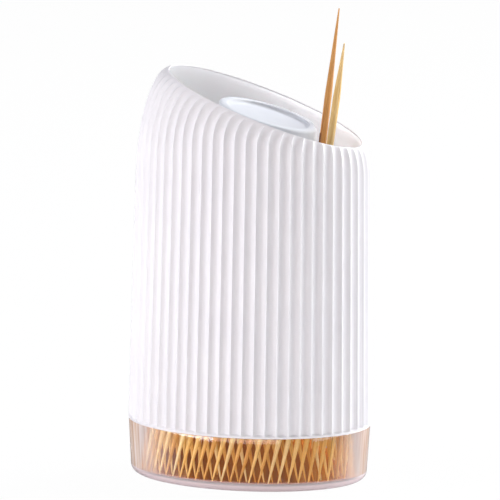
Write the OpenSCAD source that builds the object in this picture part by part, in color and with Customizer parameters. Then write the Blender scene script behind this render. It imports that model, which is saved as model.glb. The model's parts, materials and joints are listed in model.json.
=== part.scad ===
// Press-top toothpick holder: a fluted oval case with a slanted mouth, standing on a clear cup of
// toothpicks. A button in the mouth carries a plate with tapered holes down over the toothpicks,
// and a spring brings both back up.
// Origin at the centre of the underside, +Z up, +X towards the low side of the mouth, in millimetres.

/* [Case] */
// Length of the oval, over the ridges at the lower edge
body_w = 56; // [54:1:62]
// Depth of the oval, over the ridges at the lower edge
body_d = 42; // [41:1:46]
// Wall of the case, from ridge to inside
case_wall = 1.7; // [1.5:0.1:2.2]
// Inward lean of the walls, in degrees
draft = 1.05; // [0.5:0.05:1.3]
// Number of flutes round the case
flutes = 58; // [40:2:64]
// Depth of one flute
flute_depth = 0.7; // [0.3:0.1:0.9]

/* [Mouth] */
// Height of the rim above upright toothpicks, where its plane crosses the axis
mouth_h = 19.8; // [17.4:0.2:23]
// Slope of the rim, in degrees
mouth_slope = 20; // [17:1:23]
// How far the opening is drawn in from each end of the case
mouth_inset_w = 5.8; // [5.5:0.1:7]
// How far the opening is drawn in from the front and the back of the case
mouth_inset_d = 2.9; // [2.5:0.1:4]
// Shift of the opening towards the low side
mouth_shift = 2.7; // [1:0.1:3]
// Thickness of the lip
lip_wall = 0.6; // [0.5:0.1:1.2]

/* [Base cup] */
// Height of the clear band under the case
band_h = 12.6; // [10:0.2:15]
// Thickness of the floor of the cup
floor_t = 1.6; // [1.2:0.1:2.4]
// Height of the spigot inside the case
spigot_h = 7.4; // [5:0.2:9]
// Wall of the spigot
spigot_wall = 1.1; // [1:0.1:1.4]
// Gap between the spigot and the case
spigot_gap = 0.2; // [0.15:0.05:0.3]
// Radius of the bottom corner
corner_r = 2; // [1:0.1:2.4]

/* [Button] */
// Diameter of the button as a share of the length of the case
button_share = 0.396; // [0.38:0.002:0.4]
// Shift of the button towards the low side
button_shift = 3.3; // [2.8:0.1:3.6]
// Height of the button's rim above upright toothpicks, on its axis
button_rim_h = 17.2; // [16.4:0.1:18.4]
// Slope of the top of the button, in degrees
button_slope = 15.5; // [14:0.5:17]
// Width of the rim round the dished top
rim_w = 1.8; // [1.4:0.1:2.4]
// Depth of the dished top
recess_depth = 1.3; // [0.8:0.1:1.6]
// Wall of the button
button_wall = 1.4; // [1:0.1:1.6]
// Height of the button's outer wall on its axis
button_h = 11.8; // [10:0.1:12]
// Travel of the button
stroke = 10; // [7:0.5:10]

/* [Toothpicks] */
// Length of a toothpick
pick_l = 65; // [62:0.5:65]
// Diameter of a toothpick
pick_d = 1.7; // [1.4:0.05:1.8]
// Number of toothpicks in the outer row
outer_row_count = 64; // [40:1:64]
// Number of toothpicks in the inner row
inner_row_count = 60; // [36:1:60]
// Gap between the two rows
row_gap = 0.2; // [0.15:0.05:0.3]

/* [Pick plate] */
// Thickness of the plate
plate_t = 2.2; // [1.8:0.1:2.6]
// Clearance round a toothpick in its hole
hole_gap = 0.25; // [0.2:0.05:0.35]

/* [Guide and spring] */
// Width of the bridge
bridge_w = 5; // [4:0.2:5.6]
// Thickness of the bridge
bridge_t = 2.6; // [2.2:0.1:3]
// Outer diameter of the guide tube as a share of the button
guide_share = 0.54; // [0.52:0.01:0.55]
// Wall of the guide tube
guide_wall = 1.1; // [0.9:0.1:1.2]
// Height of the guide tube
guide_h = 18.6; // [16:0.2:20]
// Diameter of the stem as a share of the guide tube
stem_share = 0.384; // [0.34:0.002:0.4]
// Wire diameter of the spring
wire_d = 0.7; // [0.5:0.05:0.8]
// Number of turns of the spring
spring_turns = 9; // [6:1:11]

/* [Hidden] */

// Fineness of round cuts, of ovals and of the fluting
round_fn = 48;
small_fn = 24;
oval_points = 96;
points_per_flute = 4;
arc_steps = 360;

// Running clearances and the overrun of cuts
slide_gap = 0.1;
stop_gap = 0.3;
body_gap = 0.3;
overrun = 1;

// Half sizes of the case at its lower edge, and the depth of the usual oval as a share of its length
half_w = body_w / 2;
half_d = body_d / 2;
usual_oval = 0.75;

// Opening of the case
mouth_w = body_w - 2 * mouth_inset_w;
mouth_d = body_d - 2 * mouth_inset_d;
upright_top = floor_t + pick_l;
mouth_z = upright_top + mouth_h;

// Angles up the shoulder, from where it leaves the straight wall to the rim
shoulder_angles = [0, 12, 24, 36, 48, 60, 72, 82, 90];
inner_angles = [90, 66, 44, 22, 0];
// Height of the shoulder as a share of how far it turns in
shoulder_share = 3.7;
// The flutes fade out over the last degrees before the rim
fade_from = 80;
lip_bulge_share = 0.3;
// A plain band along the lower edge of the case, and the height over which the flutes begin
plain_band = 0.4;
flute_start = 0.4;
band_bevel = 0.15;

// Where things stand along the height
rim_tan = tan(button_slope);
head_t = 1.6;
button_rim_z = upright_top + button_rim_h;
button_d = button_share * min(body_w, body_d / usual_oval);
guide_d = guide_share * button_d;
guide_r = guide_d / 2;
stem_d = stem_share * guide_d;
bridge_top = button_rim_z - rim_tan * guide_r - recess_depth - head_t - stroke - stop_gap;
bridge_bottom = bridge_top - bridge_t;
plate_top = bridge_bottom - stop_gap;
plate_bottom = plate_top - plate_t;
guide_bottom = bridge_top - guide_h;
guide_floor_t = 2.5;

// Button
button_r = button_d / 2;
recess_r = button_r - rim_w;
sleeve_r = guide_r + slide_gap;
sleeve_wall = 1.2;
spring_seat_r = guide_r - guide_wall - body_gap;
button_bottom = button_rim_z - button_h;
notch_w = bridge_w + 2 * body_gap;
notch_y = (spring_seat_r + sleeve_r) / 2;
notch_top = bridge_top + stroke + stop_gap;
spring_seat_h = 0.7;
spring_seat_z = bridge_top + stroke - spring_seat_h;
stem_bottom = guide_bottom - stop_gap;

// Plate screws, in bosses between the sleeve and the wall of the button
plate_boss_r = 1.6;
plate_boss_x = (sleeve_r + button_r - button_wall) / 2 + sleeve_wall / 2;
plate_screw_d = 1.6;
plate_screw_l = 6;
plate_screw_head_d = 3;
plate_screw_head_h = 0.8;

// Bridge screws, in bosses under the shoulder of the case
boss_r = 2.2;
boss_h = 6;
boss_web = 2.4;
boss_bite = 0.6;
bridge_screw_d = 1.7;
bridge_screw_l = 6;
bridge_screw_head_d = 3.4;
bridge_screw_head_h = 0.9;

// Washer and screw that stop the stem under the guide tube
washer_d = 8;
washer_t = 0.8;
stem_screw_d = 2;
stem_screw_l = 9;
stem_screw_head_d = 4;
stem_screw_head_h = 1.4;
slot_w = 0.6;
slot_depth = 0.6;

// Spring
spring_bottom = guide_bottom + guide_floor_t;
spring_top = spring_seat_z;
spring_r = (stem_d / 2 + guide_r - guide_wall) / 2;
turn_rings = 8;
full_turn = 360;
wire_sides = 6;

// Toothpick: a straight stick with a two-part point at each end
pick_r = pick_d / 2;
tip_r_share = 0.15;
neck_r_share = 0.5;
point_l = 13;
neck_l = 5;

// Rows of stored toothpicks lean along the wall, the two rows opposite ways, most at the front
outer_lean = 11;
outer_lean_swing = 4;
inner_lean = 9;
inner_lean_swing = 3;
lean_front = 270;
settle_gap = 0.02;
row_wall_gap = 0.45;
inside_w = half_w - case_wall - spigot_gap - spigot_wall;
inside_d = half_d - case_wall - spigot_gap - spigot_wall;
// How far a leaning stick stands out from the row at the height where its full width begins
lean_out_w = pow((pick_l / 2 - point_l) * tan(outer_lean), 2) * inside_w / pow(inside_d, 2) / 2;
lean_tip_w = pow(pick_l / 2 * tan(outer_lean), 2) * inside_w / pow(inside_d, 2) / 2;
lean_out_d = pow((pick_l / 2 - point_l) * tan(outer_lean + outer_lean_swing), 2) * inside_d
    / pow(inside_w, 2) / 2;
lean_tip_d = pow(pick_l / 2 * tan(outer_lean + outer_lean_swing), 2) * inside_d / pow(inside_w, 2) / 2;
row_w = inside_w - max(lean_out_w + pick_r, lean_tip_w + pick_r * tip_r_share) - row_wall_gap;
row_d = inside_d - max(lean_out_d + pick_r, lean_tip_d + pick_r * tip_r_share) - row_wall_gap;
inner_row_w = row_w - pick_d - row_gap;
inner_row_d = row_d - pick_d - row_gap;

// Plate outline, and its holes on an oval, left out where the button stands over them
plate_edge_gap = 0.9;
plate_w = inner_row_w - plate_edge_gap;
plate_d = inner_row_d - pick_r - plate_edge_gap / 2;
hole_share = 0.3125;
hole_inset_d = 2.83;
funnel_flare = 0.35;
button_reach = button_shift + button_r;
hole_w = button_reach + hole_share * (plate_w - button_reach);
hole_d = plate_d - hole_inset_d;
hole_r = pick_r + hole_gap;
funnel_r = hole_r + funnel_flare;
hole_land = 0.8;
hole_angle = 18;
hole_steps = [0, 1, -1, 1.75, -2, 6, -6, 7, -7, 8, -8, 9, -9, 10];
waiting_steps = [1, 6, -6, 7, -7, 8, -8, 9, -9, 10];

// Raised toothpicks: hole, height of the lower point above the floor as a share of a toothpick's
// length, outward lean in degrees
raised = [[1.75, 0.634, 6.1], [0, 0.531, 7.2], [-1, 0.215, 3]];

// A point of an oval, its outward normal, and the oval drawn in by an amount
function oval(a, b, t) = [a * cos(t), b * sin(t)];
function oval_normal(a, b, t) = let (v = [b * cos(t), a * sin(t)]) v / norm(v);
function oval_in(a, b, t, amount) = oval(a, b, t) - amount * oval_normal(a, b, t);
function oval_y(a, b, x) = b * sqrt(1 - pow(x / a, 2));

// Length along an oval against angle, and the angles of evenly spaced points
function arc_table(a, b) =
    [for (i = 0, s = 0; i <= arc_steps;
          s = s + norm(oval(a, b, (i + 1) * 360 / arc_steps) - oval(a, b, i * 360 / arc_steps)),
          i = i + 1) [s, i * 360 / arc_steps]];
function even_angles(a, b, count, shift) =
    let (table = arc_table(a, b), total = table[arc_steps][0])
    [for (i = [0 : count - 1]) lookup(((i + shift) % count) / count * total, table)];

// The case: straight leaning side, the turn-in of the shoulder, and the surface up the shoulder
function side_in(z) = (z - band_h) * tan(draft);
function side(t, z) = oval(half_w - side_in(z), half_d - side_in(z), t);
function mouth(t) = [mouth_shift, 0] + oval(mouth_w / 2, mouth_d / 2, t);
function rim_z(t) = mouth_z - tan(mouth_slope) * mouth(t)[0];
function turn_in(t) = mouth(t) - side(t, rim_z(t));
function turn_depth(t) = -turn_in(t) * oval_normal(half_w, half_d, t);
function shoulder_h(t) = shoulder_share * turn_depth(t);
function case_z(t, g) = rim_z(t) - shoulder_h(t) * (1 - sin(g));
function case_xy(t, g) = side(t, case_z(t, g)) + turn_in(t) * (1 - cos(g));
function case_normal(t, g) =
    let (n = oval_normal(half_w, half_d, t),
         v = [n[0] * shoulder_h(t) * cos(g), n[1] * shoulder_h(t) * cos(g), turn_depth(t) * sin(g)])
    v / norm(v);
function case_point(t, g, amount) =
    let (p = case_xy(t, g), n = case_normal(t, g)) [p[0], p[1], case_z(t, g)] - amount * n;
function case_foot(t, amount, up) =
    let (p = side(t, band_h + up) - amount * oval_normal(half_w, half_d, t)) [p[0], p[1], band_h + up];
function lip_point(t) =
    let (p = mouth(t), n = oval_normal(half_w, half_d, t), q = p - lip_wall * lip_bulge_share * n)
    [q[0], q[1], rim_z(t) - lip_wall / 2];
function flute_share(i) = let (f = (i % points_per_flute) / points_per_flute) 4 * f * (1 - f);
function fade(g) = g <= fade_from ? 1 : (90 - g) / (90 - fade_from);
function wall_at(g) = case_wall - (case_wall - lip_wall) * pow(g / 90, 2);

// Where the inner wall of the case is at the bridge
wall_in_w = half_w - side_in(bridge_top) - case_wall;
wall_in_d = half_d - side_in(bridge_top) - case_wall;
wall_y = oval_y(wall_in_w, wall_in_d, button_shift);
screw_y = wall_y - boss_r - body_gap;

// Closed skin over rings of points that all have the same count, with or without end faces
module skin(rings, closed) {
    n = len(rings[0]);
    m = len(rings);
    points = [for (ring = rings) for (p = ring) p];
    bands = [for (j = [0 : closed ? m - 1 : m - 2]) for (i = [0 : n - 1])
             let (a = j * n + i, b = j * n + (i + 1) % n, c = ((j + 1) % m) * n + i,
                  d = ((j + 1) % m) * n + (i + 1) % n)
             each [[a, c, b], [b, c, d]]];
    ends = closed ? [] : [[for (i = [0 : n - 1]) i], [for (i = [n - 1 : -1 : 0]) (m - 1) * n + i]];
    polyhedron(points = points, faces = concat(bands, ends), convexity = 10);
}

// A solid oval slab
module oval_slab(a, b, height) {
    linear_extrude(height = height) polygon([for (i = [0 : oval_points - 1]) oval(a, b, i * 360 / oval_points)]);
}

// Everything under a plane that slopes down towards +X through a height on the button's axis
module under_slope(z) {
    reach = body_w;
    translate([button_shift, 0, z]) rotate([0, button_slope, 0])
        translate([-reach, -reach, -2 * reach]) cube([2 * reach, 2 * reach, 2 * reach]);
}

// A stick along +Z from its lower point
module toothpick() {
    cylinder(h = neck_l, r1 = pick_r * tip_r_share, r2 = pick_r * neck_r_share, $fn = small_fn);
    translate([0, 0, neck_l])
        cylinder(h = point_l - neck_l, r1 = pick_r * neck_r_share, r2 = pick_r, $fn = small_fn);
    translate([0, 0, point_l]) cylinder(h = pick_l - 2 * point_l, r = pick_r, $fn = small_fn);
    translate([0, 0, pick_l - point_l])
        cylinder(h = point_l - neck_l, r1 = pick_r, r2 = pick_r * neck_r_share, $fn = small_fn);
    translate([0, 0, pick_l - neck_l])
        cylinder(h = neck_l, r1 = pick_r * neck_r_share, r2 = pick_r * tip_r_share, $fn = small_fn);
}

// A row of stored sticks round the inside of the cup
module toothpick_row(a, b, count, lean, swing, way) {
    for (t = even_angles(a, b, count, 0)) {
        tilt = lean + swing * cos(t - lean_front);
        along = atan2(b * cos(t), -a * sin(t));
        middle = oval(a, b, t);
        foot = middle - way * pick_l / 2 * sin(tilt) * [cos(along), sin(along)];
        lift = floor_t + pick_r * tip_r_share * sin(tilt) + settle_gap;
        translate([foot[0], foot[1], lift]) rotate([0, way * tilt, along]) toothpick();
    }
}

// Centre of a hole of the plate
function hole_at(step) = oval(hole_w, hole_d, step * hole_angle);

module waiting_toothpick(number) {
    place = hole_at(waiting_steps[number - 1]);
    color("burlywood") translate([place[0], place[1], floor_t]) toothpick();
}

module raised_toothpick(number) {
    pick = raised[number - 1];
    place = hole_at(pick[0]);
    out = place - [button_shift, 0];
    up = pick_l * pick[1];
    drop = (plate_top + plate_bottom) / 2 - floor_t - up;
    foot = place - drop * tan(pick[2]) * out / norm(out);
    color("burlywood") translate([foot[0], foot[1], floor_t + up])
        rotate([0, pick[2], atan2(out[1], out[0])]) toothpick();
}

// A countersunk screw, head down, its head flush with z = 0
module flat_screw(d, l, head_d, head_h) {
    difference() {
        union() {
            cylinder(h = head_h, d1 = head_d, d2 = d, $fn = round_fn);
            translate([0, 0, head_h]) cylinder(h = l - head_h, d = d, $fn = round_fn);
        }
        translate([-head_d / 2, -slot_w / 2, -slot_depth])
            cube([head_d, slot_w, slot_depth + head_h / 2]);
    }
}

// The hole that such a screw passes through
module flat_screw_hole(d, head_d, head_h, depth) {
    cylinder(h = head_h, d1 = head_d, d2 = d, $fn = round_fn);
    translate([0, 0, -overrun]) cylinder(h = overrun, d = head_d, $fn = round_fn);
    cylinder(h = depth + overrun, d = d, $fn = round_fn);
}

// Base cup

band_in = 0.1;
foot_in = 0.7;
inner_corner = 0.5;
spigot_chamfer = 0.5;
corner_steps = 4;
spigot_in = case_wall + spigot_gap;
spigot_top = band_h + spigot_h;

cup_profile = concat(
    [for (i = [corner_steps : -1 : 0]) let (g = i * 90 / corner_steps)
        [foot_in + corner_r * (1 - cos(g)), corner_r * (1 - sin(g))]],
    [[band_in, band_h],
     [spigot_in, band_h],
     [spigot_in, spigot_top - spigot_chamfer],
     [spigot_in + spigot_chamfer, spigot_top],
     [spigot_in + spigot_wall, spigot_top],
     [spigot_in + spigot_wall, floor_t + inner_corner],
     [spigot_in + spigot_wall + inner_corner * (1 - cos(45)), floor_t + inner_corner * (1 - sin(45))],
     [spigot_in + spigot_wall + inner_corner, floor_t]]);

module base_cup() {
    rings = [for (q = cup_profile) [for (i = [0 : oval_points - 1])
        let (p = oval_in(half_w, half_d, i * 360 / oval_points, q[0])) [p[0], p[1], q[1]]]];
    color([0.88, 0.85, 0.9, 0.5]) skin(rings, false);
}

// Outer case

module outer_case() {
    angles = even_angles(half_w, half_d, flutes * points_per_flute, points_per_flute / 2);
    last = len(angles) - 1;
    outside = concat(
        [[for (i = [0 : last]) case_foot(angles[i], band_bevel, 0)],
         [for (i = [0 : last]) case_foot(angles[i], 0, band_bevel)],
         [for (i = [0 : last]) case_foot(angles[i], 0, plain_band)],
         [for (i = [0 : last]) case_foot(angles[i], flute_depth * flute_share(i), plain_band + flute_start)]],
        [for (g = shoulder_angles)
            [for (i = [0 : last]) case_point(angles[i], g, flute_depth * flute_share(i) * fade(g))]]);
    inside = concat(
        [for (g = inner_angles) [for (i = [0 : last]) case_point(angles[i], g, wall_at(g))]],
        [[for (i = [0 : last]) case_foot(angles[i], case_wall, 0)]]);
    color("white") {
        skin(concat(outside, [[for (i = [0 : last]) lip_point(angles[i])]], inside), true);
        for (way = [-1, 1]) screw_boss(way);
    }
}

module screw_boss(way) {
    difference() {
        union() {
            translate([button_shift, way * screw_y, bridge_top]) cylinder(h = boss_h, r = boss_r, $fn = round_fn);
            translate([button_shift - boss_web / 2, way > 0 ? screw_y : -wall_y - boss_bite, bridge_top])
                cube([boss_web, wall_y + boss_bite - screw_y, boss_h]);
        }
        translate([button_shift, way * screw_y, bridge_bottom])
            cylinder(h = bridge_screw_l, d = bridge_screw_d, $fn = round_fn);
    }
}

// Guide bridge: a bar across the case with the guide tube of the stem and spring in its middle

module guide_bridge() {
    lug_r = boss_r;
    color("whitesmoke") difference() {
        union() {
            translate([button_shift - bridge_w / 2, -screw_y, bridge_bottom]) cube([bridge_w, 2 * screw_y, bridge_t]);
            for (way = [-1, 1]) translate([button_shift, way * screw_y, bridge_bottom])
                cylinder(h = bridge_t, r = lug_r, $fn = round_fn);
            translate([button_shift, 0, guide_bottom]) cylinder(h = guide_h, r = guide_r, $fn = round_fn);
        }
        translate([button_shift, 0, spring_bottom])
            cylinder(h = guide_h + overrun, r = guide_r - guide_wall, $fn = round_fn);
        translate([button_shift, 0, guide_bottom - overrun])
            cylinder(h = guide_floor_t + 2 * overrun, r = stem_d / 2 + slide_gap, $fn = round_fn);
        for (way = [-1, 1]) translate([button_shift, way * screw_y, bridge_bottom])
            flat_screw_hole(bridge_screw_d, bridge_screw_head_d, bridge_screw_head_h, bridge_t);
    }
}

module bridge_screws() {
    color("silver") for (way = [-1, 1]) translate([button_shift, way * screw_y, bridge_bottom])
        flat_screw(bridge_screw_d, bridge_screw_l, bridge_screw_head_d, bridge_screw_head_h);
}

// Push button: wall, slanted dished head, sleeve on the guide tube, stem, spring seat, two bosses

module push_button() {
    color("white") difference() {
        intersection() {
            union() {
                difference() {
                    translate([button_shift, 0, button_bottom]) cylinder(h = body_w, r = button_r, $fn = round_fn);
                    intersection() {
                        translate([button_shift, 0, button_bottom - overrun])
                            cylinder(h = body_w, r = button_r - button_wall, $fn = round_fn);
                        under_slope(button_rim_z - recess_depth - head_t);
                    }
                }
                difference() {
                    translate([button_shift, 0, plate_top])
                        cylinder(h = body_w, r = sleeve_r + sleeve_wall, $fn = round_fn);
                    intersection() {
                        translate([button_shift, 0, plate_top - overrun])
                            cylinder(h = body_w, r = sleeve_r, $fn = round_fn);
                        under_slope(button_rim_z - recess_depth - head_t);
                    }
                }
                for (way = [-1, 1]) translate([button_shift + way * plate_boss_x, 0, plate_top])
                    cylinder(h = body_w, r = plate_boss_r, $fn = round_fn);
                translate([button_shift, 0, spring_seat_z]) cylinder(h = body_w, r = spring_seat_r, $fn = round_fn);
                translate([button_shift, 0, stem_bottom]) cylinder(h = body_w, r = stem_d / 2, $fn = round_fn);
            }
            under_slope(button_rim_z);
        }
        difference() {
            translate([button_shift, 0, stem_bottom]) cylinder(h = 2 * body_w, r = recess_r, $fn = round_fn);
            under_slope(button_rim_z - recess_depth);
        }
        for (way = [-1, 1]) translate([button_shift - notch_w / 2, way > 0 ? notch_y : -button_d, stem_bottom])
            cube([notch_w, button_d - notch_y, notch_top - stem_bottom]);
        for (way = [-1, 1]) translate([button_shift + way * plate_boss_x, 0, plate_bottom])
            cylinder(h = plate_screw_l, d = plate_screw_d, $fn = round_fn);
        translate([button_shift, 0, stem_bottom - overrun])
            cylinder(h = stem_screw_l - washer_t + overrun, d = stem_screw_d, $fn = round_fn);
    }
}

// Pick plate: an oval plate whose tapered holes take up the toothpicks

module pick_plate() {
    bore_r = guide_r + body_gap;
    color("whitesmoke") difference() {
        translate([0, 0, plate_bottom]) oval_slab(plate_w, plate_d, plate_t);
        translate([button_shift, 0, plate_bottom - overrun])
            cylinder(h = plate_t + 2 * overrun, r = bore_r, $fn = round_fn);
        for (step = hole_steps) {
            place = hole_at(step);
            translate([place[0], place[1], plate_bottom - overrun])
                cylinder(h = plate_t + 2 * overrun, r = hole_r, $fn = round_fn);
            translate([place[0], place[1], plate_bottom])
                cylinder(h = plate_t - hole_land, r1 = funnel_r, r2 = hole_r, $fn = round_fn);
        }
        for (way = [-1, 1]) translate([button_shift + way * plate_boss_x, 0, plate_bottom])
            flat_screw_hole(plate_screw_d, plate_screw_head_d, plate_screw_head_h, plate_t);
    }
}

module plate_screws() {
    color("silver") for (way = [-1, 1]) translate([button_shift + way * plate_boss_x, 0, plate_bottom])
        flat_screw(plate_screw_d, plate_screw_l, plate_screw_head_d, plate_screw_head_h);
}

module stem_washer() {
    color("silver") translate([button_shift, 0, stem_bottom - washer_t]) difference() {
        cylinder(h = washer_t, d = washer_d, $fn = round_fn);
        translate([0, 0, -overrun]) cylinder(h = washer_t + 2 * overrun, d = stem_screw_d, $fn = round_fn);
    }
}

module stem_screw() {
    head_z = stem_bottom - washer_t - stem_screw_head_h;
    color("silver") translate([button_shift, 0, head_z]) difference() {
        union() {
            cylinder(h = stem_screw_head_h, d = stem_screw_head_d, $fn = round_fn);
            cylinder(h = stem_screw_head_h + stem_screw_l, d = stem_screw_d, $fn = round_fn);
        }
        translate([-stem_screw_head_d / 2, -slot_w / 2, -overrun])
            cube([stem_screw_head_d, slot_w, slot_depth + overrun]);
    }
}

// Return spring: one wire wound round the stem

spring_rise = (spring_top - spring_bottom - wire_d) / spring_turns;
function spring_ring(i) =
    let (turn = i / turn_rings, t = full_turn * turn, z = spring_bottom + wire_d / 2 + spring_rise * turn,
         pitch_angle = atan2(spring_rise, 2 * PI * spring_r))
    [for (k = [0 : wire_sides - 1])
        let (s = k * full_turn / wire_sides, outward = wire_d / 2 * cos(s), up = wire_d / 2 * sin(s))
        [button_shift + (spring_r + outward) * cos(t) + up * sin(pitch_angle) * sin(t),
         (spring_r + outward) * sin(t) - up * sin(pitch_angle) * cos(t),
         min(max(z + up * cos(pitch_angle), spring_bottom), spring_top)]];

module return_spring() {
    rings = [for (i = [0 : spring_turns * turn_rings]) spring_ring(i)];
    echo(least_gap_between_turns = min([for (i = [0 : turn_rings]) for (p = rings[i])
        for (q = rings[i + turn_rings]) norm(p - q)]));
    color("silver") skin(rings, false);
}

module outer_row_toothpicks() {
    color("burlywood") toothpick_row(row_w, row_d, outer_row_count, outer_lean, outer_lean_swing, 1);
}

module inner_row_toothpicks() {
    color("burlywood") toothpick_row(inner_row_w, inner_row_d, inner_row_count, inner_lean, inner_lean_swing, -1);
}

base_cup();
outer_case();
guide_bridge();
bridge_screws();
push_button();
pick_plate();
plate_screws();
return_spring();
stem_washer();
stem_screw();
outer_row_toothpicks();
inner_row_toothpicks();
waiting_toothpick(1);  // waiting_toothpick_1
waiting_toothpick(2);  // waiting_toothpick_2
waiting_toothpick(3);  // waiting_toothpick_3
waiting_toothpick(4);  // waiting_toothpick_4
waiting_toothpick(5);  // waiting_toothpick_5
waiting_toothpick(6);  // waiting_toothpick_6
waiting_toothpick(7);  // waiting_toothpick_7
waiting_toothpick(8);  // waiting_toothpick_8
waiting_toothpick(9);  // waiting_toothpick_9
waiting_toothpick(10);  // waiting_toothpick_10
raised_toothpick(1);  // raised_toothpick_1
raised_toothpick(2);  // raised_toothpick_2
raised_toothpick(3);  // raised_toothpick_3
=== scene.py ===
# %% [markdown]
# # A press-top toothpick holder
# A fluted white case with a slanted mouth stands on a clear cup of toothpicks. A round button in the mouth
# carries a plate with holes down over the sticks, and a spring brings both back up. The CAD model gives every
# place and every movement. This lesson dresses it, one piece at a time: the same values that shaped the solids
# shape finer meshes here, so each piece lands where the solid is.

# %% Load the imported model
import json
import math
import random

import bpy
import numpy as np
from mathutils import Matrix, Vector


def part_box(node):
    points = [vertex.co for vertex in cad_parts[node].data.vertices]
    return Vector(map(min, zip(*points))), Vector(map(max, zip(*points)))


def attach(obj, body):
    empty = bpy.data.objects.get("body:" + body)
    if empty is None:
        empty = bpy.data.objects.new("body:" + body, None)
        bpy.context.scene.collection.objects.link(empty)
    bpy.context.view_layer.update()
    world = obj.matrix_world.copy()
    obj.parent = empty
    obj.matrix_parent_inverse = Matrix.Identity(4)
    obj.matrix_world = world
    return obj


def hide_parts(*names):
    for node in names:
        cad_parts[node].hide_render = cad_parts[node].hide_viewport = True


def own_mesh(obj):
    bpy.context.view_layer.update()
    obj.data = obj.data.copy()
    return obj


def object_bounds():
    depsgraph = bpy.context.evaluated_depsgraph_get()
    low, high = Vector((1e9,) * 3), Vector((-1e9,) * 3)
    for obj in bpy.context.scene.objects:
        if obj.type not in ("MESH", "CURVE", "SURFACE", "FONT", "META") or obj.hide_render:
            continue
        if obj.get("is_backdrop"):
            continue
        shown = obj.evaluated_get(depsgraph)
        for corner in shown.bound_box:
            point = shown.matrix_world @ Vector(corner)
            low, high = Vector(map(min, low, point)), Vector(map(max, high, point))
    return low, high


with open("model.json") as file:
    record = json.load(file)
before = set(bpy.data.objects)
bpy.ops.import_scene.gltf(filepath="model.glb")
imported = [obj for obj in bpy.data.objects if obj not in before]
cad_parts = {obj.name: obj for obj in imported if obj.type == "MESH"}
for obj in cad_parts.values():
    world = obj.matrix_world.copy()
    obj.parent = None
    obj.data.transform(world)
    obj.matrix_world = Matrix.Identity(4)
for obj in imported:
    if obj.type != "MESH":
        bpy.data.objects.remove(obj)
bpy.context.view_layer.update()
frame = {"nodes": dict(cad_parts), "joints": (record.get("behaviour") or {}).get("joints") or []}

# %% [markdown]
# ## Units and one helper for meshes
# The values below are millimetres, as on a drawing, and one scale turns them to Blender's metres. Nearly every
# piece here is a skin over rings of points, like the hoops of a barrel: the case, the cup, the button and each
# toothpick. It could be done with modifiers, but rings keep full control of where each edge runs, and a ring
# more is all it takes to round an edge.

# %% Rings to a mesh
MM = 0.001


def ring_faces(ring_count, ring_length, start, closed, caps):
    """Faces between rings of points: quads, and an n-gon on each end where the skin has ends."""
    here = np.arange(ring_length)
    after = np.roll(here, -1)
    faces = []
    for j in range(ring_count if closed else ring_count - 1):
        a = start + j * ring_length
        b = start + ((j + 1) % ring_count) * ring_length
        faces += np.stack([a + here, a + after, b + after, b + here], 1).tolist()
    if caps and not closed:
        faces.append((start + here[::-1]).tolist())
        faces.append((start + (ring_count - 1) * ring_length + here).tolist())
    return faces


def object_from(name, points, faces, material, body, sharp=40):
    """A smooth-shaded object in the row frame that rides on a CAD body. Edges steeper than sharp stay crisp."""
    mesh = bpy.data.meshes.new(name)
    mesh.from_pydata((np.asarray(points) * MM).tolist(), [], faces)
    mesh.validate()
    mesh.shade_smooth()
    mesh.set_sharp_from_angle(angle=math.radians(sharp))
    mesh.materials.append(material)
    piece = bpy.data.objects.new(name, mesh)
    bpy.context.scene.collection.objects.link(piece)
    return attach(piece, body)


def skin(name, rings, material, body, closed=False, sharp=40):
    rings = np.asarray(rings, float)
    faces = ring_faces(rings.shape[0], rings.shape[1], 0, closed, True)
    return object_from(name, rings.reshape(-1, 3), faces, material, body, sharp)


print("faces between two rings of 4 points", len(ring_faces(2, 4, 0, False, False)))

# %% [markdown]
# ## Colours and nodes
# Colours are picked as the eye sees them, in sRGB hex, and Blender computes in linear light, so one function
# turns them. A second small function adds a node, sets its values and makes its links in one line, and the
# others take up what the materials share.

# %% Colours and nodes


def linear(hex_colour):
    parts = [int(hex_colour[i:i + 2], 16) / 255 for i in (0, 2, 4)]
    return tuple(c / 12.92 if c <= 0.04045 else ((c + 0.055) / 1.055) ** 2.4 for c in parts) + (1,)


def add(tree, kind, values=None, links=None, **settings):
    """Adds a node of a kind to a tree, with plain values and links by socket name or number."""
    node = tree.nodes.new("ShaderNode" + kind)
    for key, value in settings.items():
        setattr(node, key, value)
    for key, value in (values or {}).items():
        node.inputs[key].default_value = value
    for key, source in (links or {}).items():
        tree.links.new(source, node.inputs[key])
    return node


def new_material(name):
    material = bpy.data.materials.new(name)
    material.use_nodes = True
    tree = material.node_tree
    tree.nodes.clear()
    return material, tree


def finish_material(tree, shader):
    add(tree, "OutputMaterial", links={"Surface": shader.outputs[0]})


print("middle grey in linear light", round(linear("808080")[0], 3))

# %% What the materials share


def mix_colours(tree, share, first, second):
    """Mixes two colours, each a socket or a plain value, by a share. The result is output 2."""
    node = add(tree, "Mix", links={0: share}, data_type="RGBA")
    for place, source in ((6, first), (7, second)):
        if isinstance(source, tuple):
            node.inputs[place].default_value = source
        else:
            tree.links.new(source, node.inputs[place])
    return node


def stops(ramp, *pairs):
    """Sets a colour ramp's stops from (position, hex) pairs."""
    elements = ramp.color_ramp.elements
    while len(elements) < len(pairs):
        elements.new(0.5)
    for element, (position, colour) in zip(elements, pairs):
        element.position = position
        element.color = linear(colour)
    return ramp


def two_tones(tree, noise, low, high):
    """A colour ramp between two tones over the middle of a noise."""
    return stops(add(tree, "ValToRGB", links={"Fac": noise.outputs["Fac"]}), (0.3, low), (0.7, high))


def spread(tree, source, low, high, start=0.0, end=1.0):
    """Carries a socket's values between start and end to values between low and high."""
    return add(tree, "MapRange", {"From Min": start, "From Max": end, "To Min": low, "To Max": high},
               {"Value": source}).outputs["Result"]


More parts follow.
